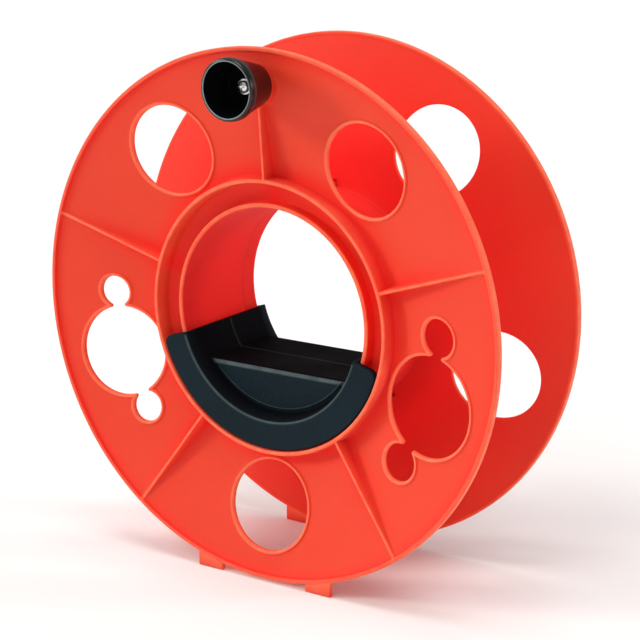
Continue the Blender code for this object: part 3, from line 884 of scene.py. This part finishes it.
def handle_block():
    """The hollow handle's outer form: a flat top with a full front edge, and a groove below its face."""
    deep = corner_depths(HANDLE_TOP_ROUND, 2 * EDGE_STEPS)
    deep += corner_depths(HANDLE_LOWER_ROUND, EDGE_STEPS, first=1)
    deep += [HANDLE_TOP_ROUND + SUPPORT, HANDLE_GROOVE, HANDLE_GROOVE + SEAM_ROUND]
    face_radius = HANDLE_RADIUS - HANDLE_LOWER_ROUND - SUPPORT
    face_top = GRIP_TOP - HANDLE_TOP_ROUND - SUPPORT
    loops = [[(x, GRIP_FACE, z) for x, z in chord_outline(face_radius, face_top)]]
    for depth in sorted(set(deep)):
        top_left = max(HANDLE_TOP_ROUND - depth, 0.0)
        low_left = max(HANDLE_LOWER_ROUND - depth, 0.0)
        top = GRIP_TOP - HANDLE_TOP_ROUND + math.sqrt(HANDLE_TOP_ROUND**2 - top_left**2)
        radius = HANDLE_RADIUS - HANDLE_LOWER_ROUND + math.sqrt(HANDLE_LOWER_ROUND**2 - low_left**2)
        if depth > HANDLE_GROOVE:
            radius = HANDLE_ROOT
        loops.append([(x, GRIP_FACE + depth, z) for x, z in chord_outline(radius, top)])
    seam = HALF_END - SEAM_ROUND
    for y, drop in ((seam - SUPPORT, 0.0), (seam, 0.0), (HALF_END, SEAM_ROUND)):
        loops.append([(x, y, z) for x, z in chord_outline(HANDLE_ROOT, GRIP_TOP - drop)])
    return lofted("handle", loops)


def rounded_edge(first, second, size):
    """1 along the middle of a rounded edge, from the distances to the two faces that it joins."""
    inside = (first > -GAP) & (first < size) & (second > -GAP) & (second < size)
    return inside * band((first - second) / size, *CREST_PALE)


def add_grip_painted_light(shell):
    """Marks painted highlights along the handle's and the arc's rounded edges and the seam, and painted
    light on the arc's front face and the handle's face.
    """
    _, y, z, radius = points_of(shell)
    on_handle = radius < HANDLE_RADIUS + GAP
    # painted highlights on the handle's top and lower edges, on the arc's inner edge and, fainter, along
    # the seam
    top = rounded_edge(y - GRIP_FACE, GRIP_TOP - z, HANDLE_TOP_ROUND) * on_handle
    lower = rounded_edge(y - GRIP_FACE, HANDLE_RADIUS - radius, HANDLE_LOWER_ROUND) * (z < GRIP_TOP)
    arc_edge = rounded_edge(y - ARC_FRONT, radius - ARC_INNER, ARC_INNER_ROUND) * (z < ARC_WEAR_TOP)
    seam = band(y - HALF_END, *SEAM_PALE) * (radius > HANDLE_RADIUS + PAST / 2)
    edges = [top, lower, ARC_PALE_SHARE * arc_edge, SEAM_PALE_SHARE * seam]
    mark(shell, "painted_highlight", np.maximum.reduce(edges))
    # painted light on the front faces, painted shade on the rest
    face = band(y - GRIP_FACE, *GRIP_LEVEL) * on_handle
    mark(shell, "painted_light", np.maximum(band(y - ARC_FRONT, *GRIP_LEVEL), face))


def grip_half(name, boss_radius, cuts):
    shell = combine(cradle_shell(), [handle_block()])
    shell.name = name
    near = GRIP_FACE + WALL
    far = HALF_END + PAST
    outline = chord_outline(GRIP_HOLLOW, GRIP_TOP - WALL)
    combine(shell, [prism("hollow", outline, near, far)], "DIFFERENCE")
    for side in (-1, 1):
        centre = (side * GRIP_SCREW_X, GRIP_SCREW_Z)
        ends = [(boss_radius, GRIP_FACE + WALL / 2), (boss_radius, HALF_END)]
        combine(shell, [turned_rod("boss", ends, ROUND_STEPS, centre)])
        for radius, start, end in cuts:
            bore = turned_rod("bore", [(radius, start), (radius, end)], ROUND_STEPS, centre)
            combine(shell, [bore], "DIFFERENCE")
    add_grip_painted_light(shell)
    return shell


def grip_front():
    cuts = [(PILOT_RADIUS, GRIP_PILOT_END, HALF_END + PAST)]
    return grip_half("grip_front_moulding", BOSS_FRONT_RADIUS, cuts)


def grip_rear():
    cuts = [
        (COUNTERBORE, GRIP_FACE - PAST, GRIP_WEB),
        (PILOT_RADIUS + GAP, GRIP_WEB - PAST, HALF_END + PAST),
    ]
    return flipped(grip_half("grip_rear_moulding", BOSS_REAR_RADIUS, cuts))


# ---- crank knob and fasteners ----
KNOB_CORE_FLOOR = KNOB_BASE - 0.0060
KNOB_SECTION = (
    (0.0039, -0.0080, 0.0003), (0.0124, -0.0080, 0.0016), (0.0164, -0.0273, 0.0005),
    (0.0182, -0.0273, 0.0010), (0.0186, -0.0227, 0.0003), (0.0180, -0.0221, 0.0003),
    (0.0126, KNOB_BASE, 0.0008), (0.0100, KNOB_BASE, 0.0003), (0.0096, KNOB_CORE_FLOOR, 0.0006),
    (0.0067, KNOB_CORE_FLOOR, 0.0006), (0.0063, KNOB_BASE, 0.0003), (0.0039, KNOB_BASE, 0.0003),
)
KNOB_MOUTH = (0.0166, -0.0272)
KNOB_LIP = (0.0185, -0.0230)
KNOB_MOUTH_PALE = (0.0001, 0.0003)
KNOB_LIP_PALE = (0.0004, 0.0006)
KNOB_LIP_SHARE = 0.15
KNOB_TAPER = 0.21
KNOB_STEPS = 160
WASHER_STEPS = 96
POLISH_FADE = 0.0006
SCREW_RADIUS = 0.0016
SCREW_TIP_SHARE = 0.35
THREAD_PITCH = 0.0012
THREAD_HEIGHT = 0.0003
THREAD_SHARPNESS = 3.2
THREAD_ROWS = 8
SHANK_STEPS = 40
HEAD_RADIUS = 0.0037
HEAD_HEIGHT = 0.0023
HEAD_EDGE = 0.0002
HEAD_RIM_SHARE = 0.35
HEAD_STEPS = 12
RECESS_DEPTH = 0.0012
RECESS_LENGTH = 0.0019
RECESS_WIDTH = 0.0005
KNOB_SCREW_TIP = 0.0045
GRIP_SCREW_TIP = 0.0360


def knob():
    """The crank knob, with painted highlights on the edge of its mouth and on its lip, and its outside
    marked as polished.
    """
    made = turned("knob_moulding", rounded(KNOB_SECTION, steps=6), KNOB_STEPS, (0.0, KNOB_OFFSET))
    x, y, z, _ = points_of(made)
    radius = np.hypot(x, z - KNOB_OFFSET)
    # painted highlights round the mouth's inner edge and, fainter, on the lip
    inner_edge = band(np.hypot(radius - KNOB_MOUTH[0], y - KNOB_MOUTH[1]), *KNOB_MOUTH_PALE)
    outer_edge = band(np.hypot(radius - KNOB_LIP[0], y - KNOB_LIP[1]), *KNOB_LIP_PALE)
    mark(made, "painted_highlight", np.maximum(inner_edge, KNOB_LIP_SHARE * outer_edge))
    wall = KNOB_MOUTH[0] + (KNOB_MOUTH[1] - y) * KNOB_TAPER
    mark(made, "polish", np.clip((radius - wall) / POLISH_FADE, 0.0, 1.0))
    return made


def washer():
    near = POST_END - GAP
    far = near - WASHER_THICKNESS
    section = [
        (PILOT_RADIUS + GAP, near, 0.0001), (WASHER_RADIUS, near, 0.0003),
        (WASHER_RADIUS, far, 0.0003), (PILOT_RADIUS + GAP, far, 0.0001),
    ]
    return turned("knob_washer_disc", rounded(section), WASHER_STEPS, (0.0, KNOB_OFFSET))


def threaded_shank(seat, tip):
    """A shank along Y whose radius rises and falls along a helix, with a tapered tip."""
    length = tip - seat
    rows = int(length / THREAD_PITCH * THREAD_ROWS)
    loops = []
    for row in range(rows + 1):
        y = seat + length * row / rows
        loop = []
        for step in range(SHANK_STEPS):
            turn = step / SHANK_STEPS
            phase = ((y - seat) / THREAD_PITCH - turn) % 1.0
            crest = max(0.0, 1 - abs(phase - 0.5) * THREAD_SHARPNESS)
            taper = min(1.0, SCREW_TIP_SHARE + (tip - y) / SCREW_RADIUS)
            fade = min(1.0, (y - seat) / THREAD_PITCH)
            radius = (SCREW_RADIUS - THREAD_HEIGHT / 2 + THREAD_HEIGHT * crest * fade) * taper
            loop.append((radius * math.cos(2 * math.pi * turn), y, radius * math.sin(2 * math.pi * turn)))
        loops.append(loop)
    return lofted("shank", loops)


def pan_screw(name, seat, tip):
    """A pan-head screw along Y, its head towards -Y, with a cross recess and a thread."""
    rim = seat - HEAD_HEIGHT * HEAD_RIM_SHARE
    dome = HEAD_HEIGHT * (1 - HEAD_RIM_SHARE)
    section = [(SCREW_RADIUS, seat + GAP), (SCREW_RADIUS, seat)]
    section += [(HEAD_RADIUS - HEAD_EDGE, seat), (HEAD_RADIUS, seat - HEAD_EDGE)]
    for k in range(HEAD_STEPS, 1, -1):
        turn = math.pi / 2 * k / HEAD_STEPS
        section.append((HEAD_RADIUS * math.sin(turn), rim - dome * math.cos(turn)))
    screw = turned_rod(name, section, ROUND_STEPS)
    combine(screw, [threaded_shank(seat - GAP, tip)])
    return combine(screw, [cross_recess(seat - HEAD_HEIGHT)], "DIFFERENCE")


def cross_recess(top):
    """The cross-shaped cavity in a screw's head, narrower towards its floor."""
    loops = []
    for depth, share in ((-PAST, 1.25), (0.0, 1.1), (RECESS_DEPTH * 0.6, 0.75), (RECESS_DEPTH, 0.3)):
        a = RECESS_LENGTH * share
        b = min(RECESS_WIDTH * (0.4 + 0.6 * share), a * 0.7)
        cross = [(-a, -b), (-b, -b), (-b, -a), (b, -a), (b, -b), (a, -b)]
        cross += [(-x, -z) for x, z in cross]
        loops.append([(x, top + depth, z) for x, z in cross])
    return lofted("recess", loops)


def moved(made, offset, half_turn=False):
    """Shifts a shape's mesh in (x, z), after turning it end for end if asked."""
    with editing(made) as bm:
        for vert in bm.verts:
            if half_turn:
                vert.co.x = -vert.co.x
                vert.co.y = REEL_WIDTH - vert.co.y
            vert.co.x += offset[0]
            vert.co.z += offset[1]
    return made


def knob_screw():
    screw = pan_screw("knob_screw_steel", POST_END - 2 * GAP - WASHER_THICKNESS, KNOB_SCREW_TIP)
    return moved(screw, (0.0, KNOB_OFFSET))


def grip_screw(name, side):
    screw = pan_screw(name, GRIP_WEB - GAP, REEL_WIDTH - GRIP_SCREW_TIP)
    return moved(screw, (side * GRIP_SCREW_X, GRIP_SCREW_Z), half_turn=True)


# ---- materials ----
class Nodes:
    """A material's or the world's nodes, added one by one."""

    def __init__(self, owner, shader, place):
        owner.use_nodes = True
        self.owner = owner
        self.tree = owner.node_tree
        self.shader = self.tree.nodes[shader]
        self.place = self.add("ShaderNodeTexCoord").outputs[place]

    def add(self, kind, **settings):
        node = self.tree.nodes.new(kind)
        for key, value in settings.items():
            setattr(node, key, value)
        return node

    def put(self, source, target):
        self.tree.links.new(source, target)

    def feed(self, name, source):
        """Links a value to one of the shader's own inputs."""
        self.put(source, self.shader.inputs[name])

    def noise(self, scale, detail=2.0, roughness=0.5, stretch=None):
        node = self.add("ShaderNodeTexNoise")
        node.inputs["Scale"].default_value = scale
        node.inputs["Detail"].default_value = detail
        node.inputs["Roughness"].default_value = roughness
        place = self.place
        if stretch:
            mapping = self.add("ShaderNodeMapping")
            mapping.inputs["Scale"].default_value = stretch
            self.put(self.place, mapping.inputs["Vector"])
            place = mapping.outputs["Vector"]
        self.put(place, node.inputs["Vector"])
        return node.outputs["Fac"]

    def ranged(self, source, low, high, new_low, new_high):
        node = self.add("ShaderNodeMapRange")
        self.put(source, node.inputs["Value"])
        node.inputs["From Min"].default_value = low
        node.inputs["From Max"].default_value = high
        node.inputs["To Min"].default_value = new_low
        node.inputs["To Max"].default_value = new_high
        return node.outputs["Result"]

    def mixed(self, share, first, second):
        """A colour between two, each a colour or another node's output."""
        node = self.add("ShaderNodeMix", data_type="RGBA")
        self.put(share, node.inputs[0])
        for source, target in ((first, node.inputs[6]), (second, node.inputs[7])):
            if isinstance(source, tuple):
                target.default_value = (*source, 1.0)
            else:
                self.put(source, target)
        return node.outputs[2]

    def maths(self, first, second, operation):
        node = self.add("ShaderNodeMath", operation=operation)
        self.put(first, node.inputs[0])
        self.put(second, node.inputs[1])
        return node.outputs[0]

    def stored(self, name):
        return self.add("ShaderNodeAttribute", attribute_name=name).outputs["Fac"]

    def bump(self, height, distance, onto=None):
        node = self.add("ShaderNodeBump")
        node.inputs["Distance"].default_value = distance
        self.put(height, node.inputs["Height"])
        if onto:
            self.put(onto, node.inputs["Normal"])
        return node.outputs["Normal"]


def surface(name):
    return Nodes(bpy.data.materials.new(name), "Principled BSDF", "Object")


def moulded_plastic(made, colour, deep, highlight_colour, roughness, grain, wave, lit, shine):
    """Injection-moulded plastic: uneven pigment, a fine texture, faint sink waves and painted highlights on
    the edges.

    lit is 0 on the dull surfaces and 1 on the bright ones, and shine holds the specular level of each.
    """
    pigment = made.ranged(made.noise(22.0, 3.0), 0.3, 0.7, 0.0, 1.0)
    speck = made.ranged(made.noise(900.0, 2.0), 0.3, 0.7, 0.0, 1.0)
    base = made.mixed(made.maths(pigment, speck, "MULTIPLY"), colour, deep)
    uneven = made.ranged(made.noise(140.0, 3.0), 0.25, 0.75, 0.55, 1.0)
    # the stored painted highlights, broken up by noise, pale the colour towards the highlight colour
    made.feed("Base Color", made.mixed(made.maths(made.stored("painted_highlight"), uneven, "MULTIPLY"), base, highlight_colour))
    made.feed("Roughness", made.ranged(made.noise(35.0, 4.0), 0.3, 0.7, *roughness))
    made.feed("Specular IOR Level", made.ranged(lit, 0.0, 1.0, *shine))
    sink = made.bump(made.noise(28.0, 1.0), wave)
    made.feed("Normal", made.bump(made.noise(1500.0, 3.0, 0.6), grain, onto=sink))


def reel_plastic():
    """Painted light: deep red on the shaded faces and a paler orange on the lit ones; translucent enough
    for light to bleed through its thin walls.
    """
    made = surface("moulded_reel_plastic")
    painted_light = made.stored("painted_light")
    # painted light: each pair is the shaded red first and the lit orange second; the specular level also
    # drops on the shaded faces as painted shade
    colour = made.mixed(painted_light, (0.900, 0.034, 0.030), (0.750, 0.060, 0.025))
    deep = made.mixed(painted_light, (0.860, 0.028, 0.025), (0.720, 0.050, 0.021))
    moulded_plastic(
        made, colour, deep, (0.95, 0.200, 0.100),
        roughness=(0.42, 0.52), grain=0.00010, wave=0.0005, lit=painted_light, shine=(0.01, 0.20),
    )
    made.shader.inputs["Subsurface Weight"].default_value = 0.55
    made.shader.inputs["Subsurface Radius"].default_value = (1.0, 0.12, 0.06)
    made.shader.inputs["Subsurface Scale"].default_value = 0.007
    return made.owner


def grip_plastic():
    """Charcoal, with a bluer, paler copy as painted light on the front faces and a near-black copy as
    painted shade elsewhere.
    """
    made = surface("moulded_grip_plastic")
    painted_light = made.stored("painted_light")
    # painted light: each pair is the shaded near-black first and the lit blue-grey second
    colour = made.mixed(painted_light, (0.0046, 0.0056, 0.0076), (0.0080, 0.0190, 0.0268))
    deep = made.mixed(painted_light, (0.0032, 0.0040, 0.0054), (0.0046, 0.0112, 0.0156))
    moulded_plastic(
        made, colour, deep, (0.085, 0.125, 0.130),
        roughness=(0.52, 0.64), grain=0.00028, wave=0.0003, lit=painted_light, shine=(0.01, 0.06),
    )
    return made.owner


def knob_plastic():
    """Glossy outside and left matt in the cup."""
    made = surface("moulded_knob_plastic")
    polish = made.stored("polish")
    moulded_plastic(
        made, (0.0030, 0.0036, 0.0046), (0.0022, 0.0028, 0.0034), (0.380, 0.430, 0.440),
        roughness=(0.20, 0.30), grain=0.00001, wave=0.0002, lit=polish, shine=(0.01, 0.50),
    )
    return made.owner


def screw_steel():
    """Bright plated steel with fine turning marks."""
    made = surface("plated_screw_steel")
    marks = made.noise(500.0, 3.0, 0.6, stretch=(1.0, 12.0, 1.0))
    made.feed("Base Color", made.mixed(marks, (0.72, 0.72, 0.70), (0.90, 0.90, 0.88)))
    made.feed("Roughness", made.ranged(marks, 0.3, 0.7, 0.18, 0.34))
    made.feed("Normal", made.bump(marks, 0.00002))
    made.shader.inputs["Metallic"].default_value = 1.0
    return made.owner


# ---- the reel, put together ----
SHARP_DEGREES = 38


def front_rim_middle():
    """Where the middle of the front rim is in the frame."""
    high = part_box("rear_reel_half")[1]
    return Vector((0.0, high.y - REEL_WIDTH, high.z - FLANGE_RADIUS))


def settle(made, body, node, material):
    """Puts a finished piece in the frame in place of its node."""
    made.location = front_rim_middle()
    made.data.materials.clear()
    made.data.materials.append(material)
    made.data.shade_smooth()
    made.data.set_sharp_from_angle(angle=math.radians(SHARP_DEGREES))
    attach(made, body)
    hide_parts(node)


def build_reel():
    red = reel_plastic()
    slate = grip_plastic()
    black = knob_plastic()
    steel = screw_steel()
    settle(front_half(), "reel", "front_reel_half", red)
    settle(rear_half(), "reel", "rear_reel_half", red)
    settle(grip_front(), "grip", "grip_front_half", slate)
    settle(grip_rear(), "grip", "grip_rear_half", slate)
    for name, side in (("left", -1), ("right", 1)):
        screw = grip_screw(f"grip_screw_steel_{name}", side)
        settle(screw, "grip", f"grip_screw_{name}", steel)
    settle(knob(), "knob", "crank_knob", black)
    settle(washer(), "reel", "knob_washer", steel)
    settle(knob_screw(), "reel", "knob_screw", steel)


# ---- floor, light and camera ----
FLOOR_RADIUS = 60.0
FLOOR_STEPS = 96
FLOOR_GAP = 0.0002
CAMERA_AZIMUTH = 34.33
CAMERA_ELEVATION = 14.67
CAMERA_ROLL = -0.45
CAMERA_DISTANCE = 6.787 * FLANGE_RADIUS
CAMERA_LENS = 107.2
SKY_LEFT = 0.46
SKY_RIGHT = 0.16
BACKDROP_TOP = 0.12
SIGHT_X = 0.275 * FLANGE_RADIUS
SIGHT_Z = 0.047 * FLANGE_RADIUS
# Each sun's name, azimuth, elevation, strength, softness and colour, with its angles in degrees.
SUNS = (
    ("key", -54.0, 20.0, 1.40, 14.0, (1.0, 0.93, 0.86)),
    ("top_front", -5.0, 50.0, 0.65, 30.0, (1.0, 0.96, 0.92)),
    ("overhead", 0.0, 84.0, 1.60, 30.0, (1.0, 1.0, 1.0)),
    ("edge", 116.0, 14.0, 0.90, 10.0, (1.0, 0.90, 0.80)),
)


def add_floor():
    outline = circle((0.0, 0.0), FLOOR_RADIUS, FLOOR_STEPS)
    floor = make_object("floor", [(x, 0.0, z) for x, z in outline], [list(range(FLOOR_STEPS))])
    floor.rotation_euler = (math.pi / 2, 0.0, 0.0)
    floor.location.z = CAD_BOX[0].z - FLOOR_GAP
    made = surface("pale_floor")
    tone = made.ranged(made.noise(0.8, 2.0), 0.3, 0.7, 0.0, 1.0)
    made.feed("Base Color", made.mixed(tone, (0.90, 0.90, 0.90), (0.92, 0.92, 0.92)))
    made.shader.inputs["Roughness"].default_value = 0.9
    floor.data.materials.append(made.owner)


def heading(azimuth, elevation):
    a = math.radians(azimuth)
    e = math.radians(elevation)
    return Vector((math.sin(a) * math.cos(e), -math.cos(a) * math.cos(e), math.sin(e)))


def add_sun(name, azimuth, elevation, strength, softness, colour):
    light = bpy.data.lights.new(name, "SUN")
    light.energy = strength
    light.angle = math.radians(softness)
    light.color = colour
    lamp = bpy.data.objects.new(name, light)
    bpy.context.scene.collection.objects.link(lamp)
    lamp.rotation_euler = (-heading(azimuth, elevation)).to_track_quat("-Z", "Y").to_euler()


def add_world():
    """An even studio sky, brighter on the left than on the right, with a white backdrop at its foot."""
    world = Nodes(bpy.data.worlds.new("studio"), "Background", "Generated")
    parts = world.add("ShaderNodeSeparateXYZ")
    world.put(world.place, parts.inputs["Vector"])
    slope = world.ranged(parts.outputs["X"], -1.0, 1.0, SKY_LEFT, SKY_RIGHT)
    backdrop = world.ranged(parts.outputs["Z"], 0.0, BACKDROP_TOP, 1.0, 0.0)
    world.feed("Strength", world.maths(slope, backdrop, "MAXIMUM"))
    world.shader.inputs["Color"].default_value = (1.0, 1.0, 1.0, 1.0)
    bpy.context.scene.world = world.owner


def add_light():
    add_world()
    for sun in SUNS:
        add_sun(*sun)


def add_camera():
    camera = bpy.data.objects.new("camera", bpy.data.cameras.new("camera"))
    bpy.context.scene.collection.objects.link(camera)
    camera.data.lens = CAMERA_LENS
    camera.data.clip_end = 2 * FLOOR_RADIUS
    sight = front_rim_middle() + Vector((SIGHT_X, 0.0, SIGHT_Z))
    back = heading(CAMERA_AZIMUTH, CAMERA_ELEVATION)
    camera.location = sight + back * CAMERA_DISTANCE
    camera.rotation_mode = "QUATERNION"
    roll = Quaternion((0.0, 0.0, 1.0), math.radians(CAMERA_ROLL))
    camera.rotation_quaternion = (-back).to_track_quat("-Z", "Y") @ roll
    bpy.context.scene.camera = camera
    bpy.context.scene.view_settings.view_transform = "Standard"


add_camera()
build_reel()
add_floor()
add_light()
